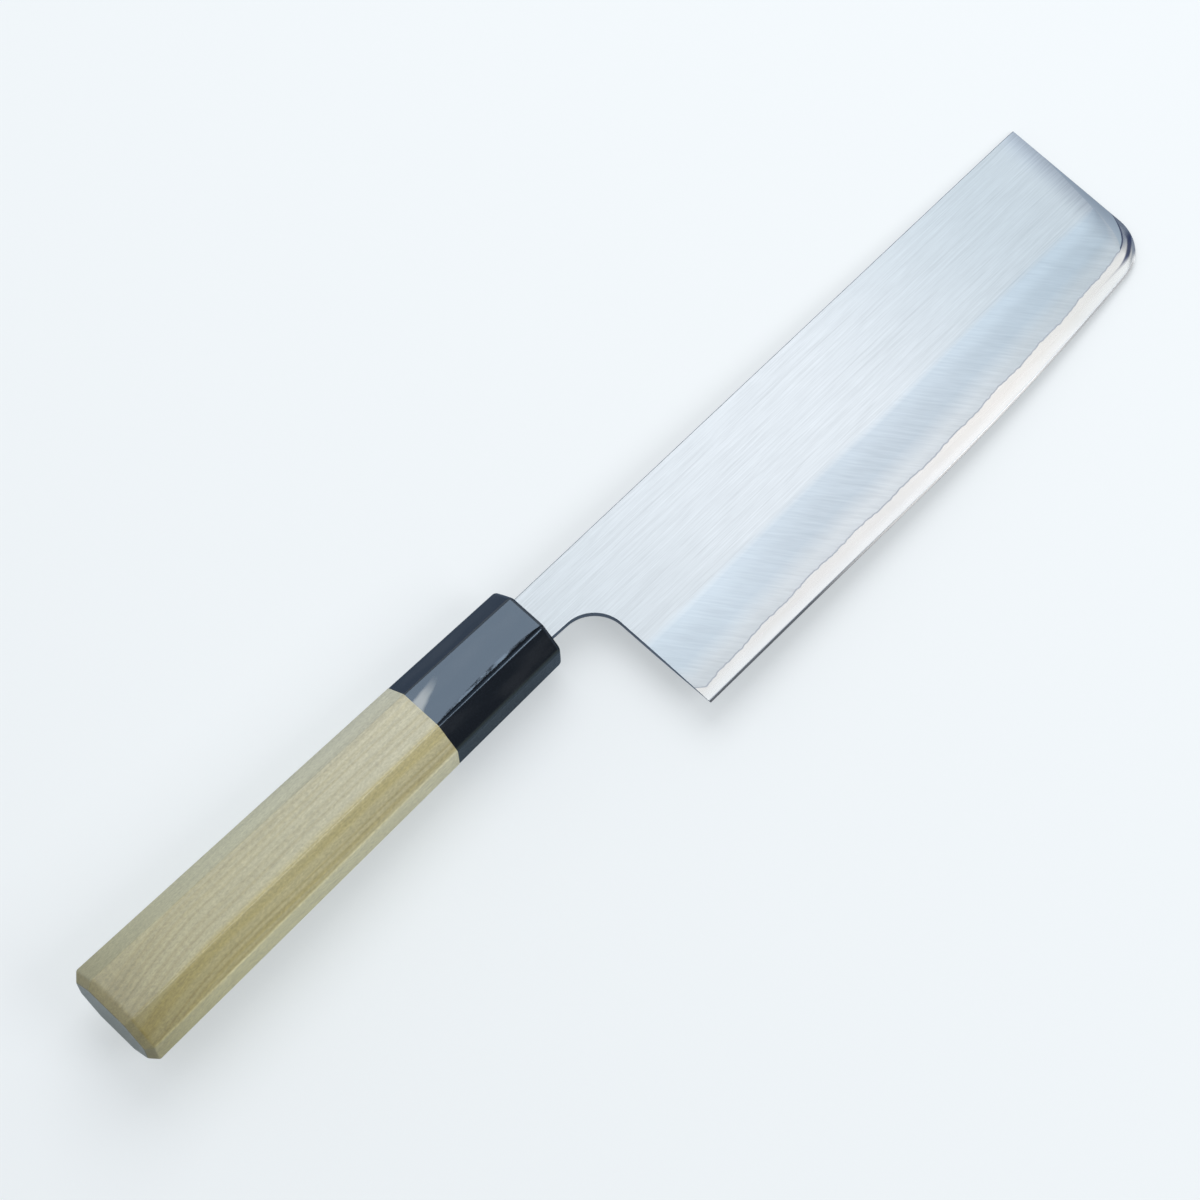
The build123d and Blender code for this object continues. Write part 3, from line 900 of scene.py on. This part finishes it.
    def neck_points(self, axis_height):
        """Columns of the choil, the neck and the tang, from the heel backwards."""
        s = self.form.s
        arc = self.choil_arc()
        neck_end = np.array((-s.neck_length, s.blade_height - s.neck_height))
        run = np.linspace(0, 1, NECK_COLUMNS)[1:, None]
        lower = np.concatenate((arc[1:], part_way(arc[-1], neck_end, run)))
        heel = self.blade[self.choil_row:, 0]
        shares = (heel[:, 1] - heel[0, 1]) / (heel[-1, 1] - heel[0, 1])
        below_spine = s.blade_height - heel[:, 1]
        eased = below_spine < EASE_ROWS
        columns = []
        for number, (x, low) in enumerate(lower, start=1):
            y = np.where(eased, s.blade_height - below_spine, part_way(low, s.blade_height, shares))
            ease = max(0.0, 1 - number / EASED_COLUMNS)
            columns.append(np.stack((x + (heel[:, 0] - heel[0, 0]) * ease, y), axis=1))
        tang_end = -s.neck_length - s.tang_length
        even = np.linspace(-s.neck_length, tang_end, TANG_COLUMNS)[1:]
        places = np.concatenate(([-s.neck_length - TANG_STEP], even))
        for x in places:
            out = (x + s.neck_length) / (tang_end + s.neck_length)
            half = part_way(s.tang_root_height, s.tang_end_height, out) / 2
            y = axis_height - half + 2 * half * shares
            columns.append(np.stack((np.full_like(y, x), y), axis=1))
        return np.stack(columns, axis=1)

    def halves(self):
        """Half thickness at the blade's and the neck's points, and the welds' heights there."""
        form, s = self.form, self.form.s
        result = []
        for points in (self.blade, self.neck):
            x, y = points[..., 0], points[..., 1]
            half = form.half_thickness(x, y)
            in_sight = x > -s.neck_length - TANG_STEP / 2
            below_spine = np.where(in_sight, s.blade_height - y, s.spine_ease)
            half = half - np.maximum(s.spine_ease - below_spine, 0.0)
            result.append((half, form.weld_half(x, self.phase)))
        return result


def grid_faces(index):
    """Quads of a grid of vertex numbers with its rows along the first axis."""
    a, b = index[:-1, :-1], index[:-1, 1:]
    c, d = index[1:, 1:], index[1:, :-1]
    return np.stack((a, b, c, d), axis=-1).reshape(-1, 4)


class Plate:
    """The vertex numbers of one sheet, of the blade and of the neck behind it."""

    def __init__(self, sheet, first_row):
        rows, columns = sheet.blade.shape[:2]
        self.blade = np.arange(rows * columns).reshape(rows, columns)[first_row:]
        neck_rows, neck_columns = sheet.neck.shape[:2]
        neck = rows * columns + np.arange(neck_rows * neck_columns).reshape(neck_rows, neck_columns)
        choil = sheet.choil_row - first_row
        upper = np.concatenate((neck[:, ::-1], self.blade[choil:]), axis=1)
        lower = self.blade[: choil + 1]
        self.faces = np.concatenate((grid_faces(lower), grid_faces(upper)))
        self.rims = {
            "bottom": self.blade[0],
            "front": self.blade[:, -1],
            "spine": upper[-1, ::-1],
            "tang": upper[::-1, 0],
            "heel": np.concatenate((upper[0, : neck_columns + 1], lower[::-1, 0][1:])),
        }


SHARP_ANGLE = math.radians(40)
WOOD_SHARP_ANGLE = math.radians(32)
DOUBLED = 1e-8


def new_object(name, data):
    """An object that shows a mesh, a lamp or a camera."""
    thing = bpy.data.objects.new(name, data)
    bpy.context.scene.collection.objects.link(thing)
    return thing


def add_mesh(name, points, faces, materials, face_materials, attributes, placing):
    """A mesh object from arrays, smooth between its sharp edges."""
    mesh = bpy.data.meshes.new(name)
    vertices = [placing + Vector(p) for p in points]
    mesh.from_pydata(vertices, [], [tuple(int(v) for v in face) for face in faces])
    for material in materials:
        mesh.materials.append(material)
    mesh.polygons.foreach_set("material_index", np.asarray(face_materials, dtype=np.int32))
    for key, values in attributes.items():
        layer = mesh.attributes.new(key, "FLOAT", "POINT")
        layer.data.foreach_set("value", np.asarray(values, dtype=np.float32))
    mesh.validate()
    mesh.shade_smooth()
    return new_object(name, mesh)


def finish_piece(piece, nodes, sharp_angle=SHARP_ANGLE):
    """Merge doubled points, mark sharp edges, hide the parts that the piece replaces and attach it
    to the root body.
    """
    work = bmesh.new()
    work.from_mesh(piece.data)
    bmesh.ops.remove_doubles(work, verts=work.verts, dist=DOUBLED)
    bmesh.ops.recalc_face_normals(work, faces=work.faces)
    work.to_mesh(piece.data)
    work.free()
    piece.data.set_sharp_from_angle(angle=sharp_angle)
    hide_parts(*nodes)
    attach(piece, "root")


def heel_corner(sizes):
    """The heel corner on the blade's middle plane, in the row frame."""
    core_low, core_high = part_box("core_steel")
    left_low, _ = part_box("left_cladding")
    _, right_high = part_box("right_cladding")
    return Vector((core_high.x - sizes.blade_length, core_low.y, (left_low.z + right_high.z) / 2))


def sheet_arrays(sheet):
    """Flat lists of a sheet's points, half thickness, weld height and attributes."""
    form = sheet.form
    points = np.concatenate((sheet.blade.reshape(-1, 2), sheet.neck.reshape(-1, 2)))
    (blade_half, blade_weld), (neck_half, neck_weld) = sheet.halves()
    half = np.concatenate((blade_half.ravel(), neck_half.ravel()))
    weld = np.concatenate((blade_weld.ravel(), neck_weld.ravel()))
    weld_line = sheet.blade[sheet.weld_row][None, :, 1]
    shinogi = form.shinogi_height(sheet.blade[..., 0])
    bevel = (sheet.blade[..., 1] - weld_line) / np.maximum(shinogi - weld_line, 2 * MM)
    neck = sheet.neck[..., 0].size
    rounded, _ = form.edge_distances(points[:, 0], points[:, 1])
    inward, upward = form.front_distance(points[:, 0], points[:, 1])
    edge = np.where(upward > 0, np.minimum(rounded, inward), rounded)
    front = np.where(upward > 0, inward, np.hypot(inward, upward * 0.6))
    attributes = {
        "weld_distance": np.concatenate((sheet.weld_distance.ravel(), np.full(neck, 20 * MM))),
        "bevel_share": np.concatenate((np.clip(bevel, -1, 3).ravel(), np.full(neck, 2.0))),
        "edge_distance": edge,
        "front_distance": front,
    }
    return points, half, weld, attributes


def build_blade_piece(name, first, second, first_row, materials, rims, placing):
    """A closed plate between two sheets, each given as its sheet, points and heights."""
    plate = Plate(first[0], first_row)
    count = len(first[1])
    points = np.concatenate((
        np.column_stack((first[1], first[2])),
        np.column_stack((second[1], second[2])),
    ))
    faces = [plate.faces, plate.faces[:, ::-1] + count]
    for rim in rims:
        loop = plate.rims[rim]
        faces.append(np.stack((loop[:-1], loop[:-1] + count, loop[1:] + count, loop[1:]), axis=1))
    faces = np.concatenate(faces)
    kinds = np.arange(len(faces)) >= 2 * len(plate.faces)
    used = np.unique(faces)
    renumber = np.zeros(len(points), int)
    renumber[used] = np.arange(len(used))
    attributes = {key: np.concatenate((first[3][key], second[3][key]))[used] for key in first[3]}
    return add_mesh(name, points[used], renumber[faces], materials, kinds, attributes, placing)


def blade_sheets(context):
    """The right and the left side of the blade."""
    sizes = context.scene.blade_sizes
    form = BladeForm(sizes)
    axis_height = sizes.blade_height - context.scene.handle_sizes.axis_drop
    return [BladeSheet(form, phase, axis_height) for phase in (sizes.right_phase, sizes.left_phase)]


class KNIFE_OT_core_steel(bpy.types.Operator):
    """Build the hard steel plate with its ground edge and tang"""

    bl_idname = "knife.core_steel"
    bl_label = "Core steel"

    def execute(self, context):
        look = look_of(context.scene.steel_look)
        faces = []
        for sheet, side in zip(blade_sheets(context), (1, -1)):
            points, half, weld, attributes = sheet_arrays(sheet)
            faces.append((sheet, points, side * np.minimum(half, weld), attributes))
        piece = build_blade_piece(
            "hard_core", *faces, 0, [polished_core(look), rim_steel(look)],
            ("bottom", "front", "spine", "tang", "heel"), heel_corner(context.scene.blade_sizes),
        )
        finish_piece(piece, ["core_steel"])
        return {"FINISHED"}


class KNIFE_OT_cladding(bpy.types.Operator):
    """Build the softer steel layer on each face of the blade"""

    bl_idname = "knife.cladding"
    bl_label = "Cladding"

    def execute(self, context):
        look = look_of(context.scene.steel_look)
        materials = [brushed_steel(look), rim_steel(look)]
        placing = heel_corner(context.scene.blade_sizes)
        for sheet, side, name in zip(blade_sheets(context), (1, -1), ("right", "left")):
            points, half, weld, attributes = sheet_arrays(sheet)
            outer = (sheet, points, side * np.maximum(half, weld), attributes)
            inner = (sheet, points, side * weld, attributes)
            piece = build_blade_piece(
                name + "_face_steel", outer, inner, sheet.weld_row, materials,
                ("front", "spine", "tang", "heel"), placing,
            )
            finish_piece(piece, [name + "_cladding"])
        return {"FINISHED"}


# ---------------------------------------------------------------- handle form


FACET_POINTS = 8
ARRIS_POINTS = 5
GRIP_RINGS = 40
HORN_RINGS = 24
NOSE_RINGS = 9
BORE_RINGS = 6
# Rings of the sawn face, and of the softened arrises on both borders of the chamfer: distances
# forward and inward, in millimetres
BUTT_INSETS = (7.5, 4.0, 1.5)
BUTT_ARRIS = ((0, 0.30), (0.04, 0.10), (0.16, -0.08), (0.35, -0.32))
CHAMFER_ARRIS = ((-0.35, 0.37), (-0.10, 0.14), (0.15, 0.04), (0.40, 0))


class HandleForm:
    """The tapering octagon of grip and ferrule, as rings of points."""

    def __init__(self, sizes, blade):
        self.s = sizes
        self.front = -blade.neck_length
        self.rear = self.front - sizes.handle_length
        self.joint = self.front - sizes.ferrule_length
        self.axis_height = blade.blade_height - sizes.axis_drop

    def reach(self, x, turn):
        """How far the octagon at x stands out from its axis in a direction."""
        s = self.s
        out = (x - self.rear) / s.handle_length
        height = part_way(s.butt_height, s.nose_height, out) / 2
        thickness = part_way(s.butt_thickness, s.nose_thickness, out) / 2
        cut = part_way(s.butt_corner_cut, s.nose_corner_cut, out)
        corners = np.array(((height, thickness - cut), (height - cut, thickness)))
        direction = np.abs(np.array((math.cos(turn), math.sin(turn))))
        return float((corners @ direction).max())

    def octagon(self, x, inset, arris, crown=0.0):
        """A ring of the octagon at x, its facets moved in by an inset and its arrises rounded."""
        turns = [math.pi / 4 * number for number in range(8)]
        normals = np.array([(math.cos(turn), math.sin(turn)) for turn in turns])
        reaches = np.array([self.reach(x, turn) - inset for turn in turns])
        corners = [np.linalg.solve(normals[[k - 1, k]], reaches[[k - 1, k]]) for k in range(8)]
        tangent = arris * math.tan(math.pi / 8)
        ring = []
        for k in range(8):
            start, end = corners[k], corners[(k + 1) % 8]
            along = (end - start) / np.hypot(*(end - start))
            first = start + along * tangent
            last = end - along * tangent
            centre = first - normals[k] * arris
            for number in range(1, ARRIS_POINTS):
                blend = turns[k] - math.pi / 4 * (1 - number / ARRIS_POINTS)
                ring.append(centre + arris * np.array((math.cos(blend), math.sin(blend))))
            for number in range(FACET_POINTS + 1):
                run = number / FACET_POINTS
                sink = crown * (2 * run - 1) ** 2
                ring.append(part_way(first, last, run) - normals[k] * sink)
        return self.placed(x, np.array(ring))

    def circle(self, x, radius, turns):
        return self.placed(x, radius * np.stack((np.cos(turns), np.sin(turns)), axis=1))

    def rectangle(self, x, half_height, half_thickness, turns):
        """A ring round a rectangle, its corners taken by the nearest points."""
        direction = np.stack((np.cos(turns), np.sin(turns)), axis=1)
        scale = np.minimum(
            half_height / np.maximum(np.abs(direction[:, 0]), 1e-9),
            half_thickness / np.maximum(np.abs(direction[:, 1]), 1e-9),
        )
        ring = direction * scale[:, None]
        for corner in ((1, 1), (-1, 1), (-1, -1), (1, -1)):
            place = np.array(corner) * (half_height, half_thickness)
            ring[np.argmin(np.hypot(*(ring - place).T))] = place
        return self.placed(x, ring)

    def placed(self, x, ring):
        return np.column_stack((np.full(len(ring), x), ring[:, 0] + self.axis_height, ring[:, 1]))

    def turns_of(self, ring):
        return np.arctan2(ring[:, 2], ring[:, 1] - self.axis_height)


def ring_faces(ring_count, points, closed):
    """Quads between rings that follow each other."""
    faces = []
    for ring in range(ring_count if closed else ring_count - 1):
        following = (ring + 1) % ring_count
        for k in range(points):
            after = (k + 1) % points
            faces.append((
                ring * points + k, following * points + k,
                following * points + after, ring * points + after,
            ))
    return faces


def build_rings(name, rings, closed, material, placing):
    """A piece from a stack of rings: a closed loop of them, or a stack with both ends capped."""
    points = len(rings[0])
    faces = ring_faces(len(rings), points, closed)
    if not closed:
        faces.append(tuple(range(points)))
        faces.append(tuple(range((len(rings) - 1) * points, len(rings) * points))[::-1])
    return add_mesh(name, np.concatenate(rings), faces, [material], [0] * len(faces), {}, placing)


class KNIFE_OT_grip(bpy.types.Operator):
    """Build the octagonal wooden grip with its tenon and tang hole"""

    bl_idname = "knife.grip"
    bl_label = "Grip"

    def execute(self, context):
        s, blade = context.scene.handle_sizes, context.scene.blade_sizes
        form = HandleForm(s, blade)
        foot = form.rear + s.butt_chamfer
        profile = [(form.rear + x * MM, s.butt_chamfer + inset * MM) for x, inset in BUTT_ARRIS]
        profile += [(foot + x * MM, inset * MM) for x, inset in CHAMFER_ARRIS]
        profile += [(x, 0.0) for x in np.linspace(foot + 1 * MM, form.joint - 0.6 * MM, GRIP_RINGS)]
        profile += [(form.joint, 0.0)]
        insets = [s.butt_chamfer + inset * MM for inset in BUTT_INSETS]
        rings = [form.octagon(form.rear, inset, 0.05 * MM) for inset in insets]
        rings += [form.octagon(x, inset, s.wood_arris) for x, inset in profile]
        turns = form.turns_of(rings[-1])
        radius = s.tenon_diameter / 2
        bore = np.linspace(form.joint, form.front, BORE_RINGS)
        rings += [form.circle(x, radius, turns) for x in bore]
        tang_rear = form.front - blade.tang_length - s.bed_gap
        for x, height, thickness in (
            (form.front, blade.tang_root_height, blade.spine_thickness),
            (tang_rear, blade.tang_end_height, blade.tang_end_thickness),
        ):
            half_height, half_thickness = height / 2 + s.bed_gap, thickness / 2 + s.bed_gap
            rings.append(form.rectangle(x, half_height, half_thickness, turns))
        look = look_of(context.scene.handle_look)
        piece = build_rings("magnolia_grip", rings, False, magnolia_wood(look), heel_corner(blade))
        finish_piece(piece, ["grip"], WOOD_SHARP_ANGLE)
        return {"FINISHED"}


class KNIFE_OT_ferrule(bpy.types.Operator):
    """Build the black horn ferrule with its rounded front"""

    bl_idname = "knife.ferrule"
    bl_label = "Ferrule"

    def execute(self, context):
        s, blade = context.scene.handle_sizes, context.scene.blade_sizes
        form = HandleForm(s, blade)
        nose_start = form.front - s.nose_radius
        profile = [(x, 0.0) for x in np.linspace(form.joint, nose_start, HORN_RINGS)]
        for turn in np.linspace(0, math.pi / 2, NOSE_RINGS)[1:]:
            out, inset = math.sin(turn), 1 - math.cos(turn)
            profile.append((nose_start + s.nose_radius * out, s.nose_radius * inset))
        rings = []
        for x, inset in profile:
            run = (x - form.joint) / s.ferrule_length
            arris = part_way(s.horn_rear_arris, s.horn_front_arris, run)
            rings.append(form.octagon(x, inset, arris, s.horn_crown))
        turns = form.turns_of(rings[0])
        radius = s.tenon_diameter / 2 + s.glue_gap
        bore = np.linspace(form.front, form.joint, BORE_RINGS)
        rings += [form.circle(x, radius, turns) for x in bore]
        look = look_of(context.scene.handle_look)
        piece = build_rings("horn_ferrule", rings, True, black_horn(look), heel_corner(blade))
        finish_piece(piece, ["ferrule"])
        return {"FINISHED"}


class KNIFE_OT_bedding(bpy.types.Operator):
    """Give the bedding of the tang its material"""

    bl_idname = "knife.bedding"
    bl_label = "Tang bedding"

    def execute(self, context):
        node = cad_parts["tang_bedding"]
        node.data.materials.clear()
        node.data.materials.append(set_adhesive(look_of(context.scene.handle_look)))
        return {"FINISHED"}


# ---------------------------------------------------------------- stage


CAMERA_ROWS = (
    (0.695733048677559, 0.660780091888828, -0.28164728853873444),
    (-0.7179673455952746, 0.6277832930456528, -0.3006842656868354),
    (-0.021872714433846006, 0.4114095370019368, 0.911188112975113),
)
SENSOR_WIDTH = 36
NEAREST = 0.01
FLOOR_REACH = 6.0
FLOOR_GAP = 0.02 * MM
CAMERA_PLACE = (-240.810 * MM, -241.548 * MM, 768.056 * MM)


class KNIFE_OT_stage(bpy.types.Operator):
    """Set up the floor that the knife rests on, the soft light and the camera"""

    bl_idname = "knife.stage"
    bl_label = "Stage"

    def execute(self, context):
        look = look_of(context.scene.studio_look)
        self.add_floor(context, look)
        self.add_light(look)
        self.add_camera(context, look)
        context.scene.view_settings.view_transform = "Standard"
        return {"FINISHED"}

    def add_floor(self, context, look):
        """A plane that touches the ferrule's lower front edge and the blade's tip."""
        s, blade = context.scene.handle_sizes, context.scene.blade_sizes
        form = HandleForm(s, blade)
        nose = form.front - s.nose_radius
        heel = heel_corner(blade)
        rear_low = -form.reach(nose, math.pi / 2)
        front_low = -blade.front_thickness / 2
        slope = (front_low - rear_low) / (blade.blade_length - nose)
        middle = heel + Vector((nose, form.axis_height, rear_low - FLOOR_GAP))
        reach = FLOOR_REACH
        corners = [
            (middle.x + a * reach, middle.y + b * reach, middle.z + a * reach * slope)
            for a, b in ((-1, -1), (1, -1), (1, 1), (-1, 1))
        ]
        mesh = bpy.data.meshes.new("floor")
        mesh.from_pydata(corners, [], [(0, 1, 2, 3)])
        n, x, y, _ = new_finish("pale_floor")
        cloud = n.noise(x * 3, y * 3, 0, 1)
        # Painted light: the floor's glow a little brighter toward the lamp
        toward_lamp = (x * 0.5 + y * 0.5 + 0.25).smoothly(0.0, 0.5)
        paper = n.mix(cloud, look["floor"], tuple(0.985 * c for c in look["floor"]))
        lit = n.add("BsdfDiffuse", None, {"Color": paper})
        glow_tone = n.mix(toward_lamp, tuple(0.92 * c for c in look["backdrop"]), look["backdrop"])
        glowing = n.add("Emission", None, {"Color": glow_tone, "Strength": 1.0})
        pale = n.add("MixShader", None, {0: look["glow"], 1: lit, 2: glowing})
        dark = n.add("BsdfDiffuse", None, {"Color": (*look["dark_floor"], 1.0)})
        unseen = n.add("MixShader", None, {0: n.seen_by(GLOSS), 1: lit, 2: dark})
        shown = n.add("MixShader", None, {0: n.seen_by(CAMERA), 1: unseen, 2: pale})
        backface = n.add("NewGeometry", output=6)
        clear = n.add("BsdfTransparent")
        mixed = n.add("MixShader", None, {0: backface, 1: shown, 2: clear})
        n.add("OutputMaterial", None, {"Surface": mixed})
        mesh.materials.append(n.owner)
        floor = new_object("floor", mesh)

    def add_lamp(self, name, place, width, depth, radiance, tone):
        """A flat lamp that faces the knife."""
        lamp = bpy.data.lights.new(name, "AREA")
        lamp.shape = "RECTANGLE"
        lamp.size = width
        lamp.size_y = depth
        lamp.energy = radiance * math.pi * width * depth
        lamp.color = tone
        away = Vector(place).normalized()
        along = (Vector((1, 0, 0)) - away * away.x).normalized()
        turn = Matrix((along, away.cross(along), away)).transposed()
        new_object(name, lamp).matrix_world = Matrix.Translation(place) @ turn.to_4x4()

    def add_light(self, look):
        """A large soft lamp, a fill on the near side, and a dim room round them."""
        self.add_lamp(
            "soft_lamp", look["lamp_place"], look["lamp_width"], look["lamp_depth"],
            look["lamp_radiance"], look["lamp"],
        )
        self.add_lamp(
            "fill", look["fill_place"], look["fill_size"], look["fill_size"],
            look["fill_radiance"], look["lamp"],
        )
        world = bpy.data.worlds.new("studio")
        bpy.context.scene.world = world
        n = Nodes(world)
        along, across, up = n.split(n.add("TexCoord", output=0))
        far_side = across.smoothly(-0.6, 0.4)
        light = 0.6 + 0.4 * far_side
        near_low = (1 - across.smoothly(-0.85, -0.45)) * (1 - up.smoothly(0.42, 0.60))
        overhead = (along * 0.28 - across * 0.20 + up * 0.94).smoothly(0.95, 0.98)
        overhead = overhead * (1 - along.smoothly(0.315, 0.350))
        light = light * (1 - 0.88 * near_low) * (1 - 0.92 * overhead)
        room = n.dim(look["room"], light)
        tone = n.mix(n.seen_by(CAMERA), room, look["backdrop"])
        background = n.add("Background", None, {"Color": tone, "Strength": 1.0})
        n.add("OutputWorld", None, {"Surface": background})

    def add_camera(self, context, look):
        camera = bpy.data.cameras.new("camera")
        camera.lens = look["focal_length"]
        camera.sensor_width = SENSOR_WIDTH
        camera.clip_start = NEAREST
        holder = new_object("camera", camera)
        holder.matrix_world = Matrix.Translation(CAMERA_PLACE) @ Matrix(CAMERA_ROWS).to_4x4()
        context.scene.camera = holder


OPERATORS = (
    KNIFE_OT_core_steel,
    KNIFE_OT_cladding,
    KNIFE_OT_grip,
    KNIFE_OT_ferrule,
    KNIFE_OT_bedding,
    KNIFE_OT_stage,
)


class VIEW3D_PT_knife(bpy.types.Panel):
    """Sizes, colours and the buttons that build the knife"""

    bl_label = "Knife"
    bl_space_type = "VIEW_3D"
    bl_region_type = "UI"
    bl_category = "Knife"

    def draw(self, context):
        for operator in OPERATORS:
            self.layout.operator(operator.bl_idname)
        for name, group in GROUPS.items():
            box = self.layout.box()
            box.label(text=group.__name__)
            values = getattr(context.scene, name)
            for key in group.__annotations__:
                box.prop(values, key)


CLASSES = (*GROUPS.values(), *OPERATORS, VIEW3D_PT_knife)


def register():
    for item in CLASSES:
        bpy.utils.register_class(item)
    for name, group in GROUPS.items():
        setattr(bpy.types.Scene, name, PointerProperty(type=group))


def unregister():
    for name in GROUPS:
        delattr(bpy.types.Scene, name)
    for item in reversed(CLASSES):
        bpy.utils.unregister_class(item)


def main():
    register()
    for operator in OPERATORS:
        group, name = operator.bl_idname.split(".")
        getattr(getattr(bpy.ops, group), name)()


if __name__ == "__main__":
    main()
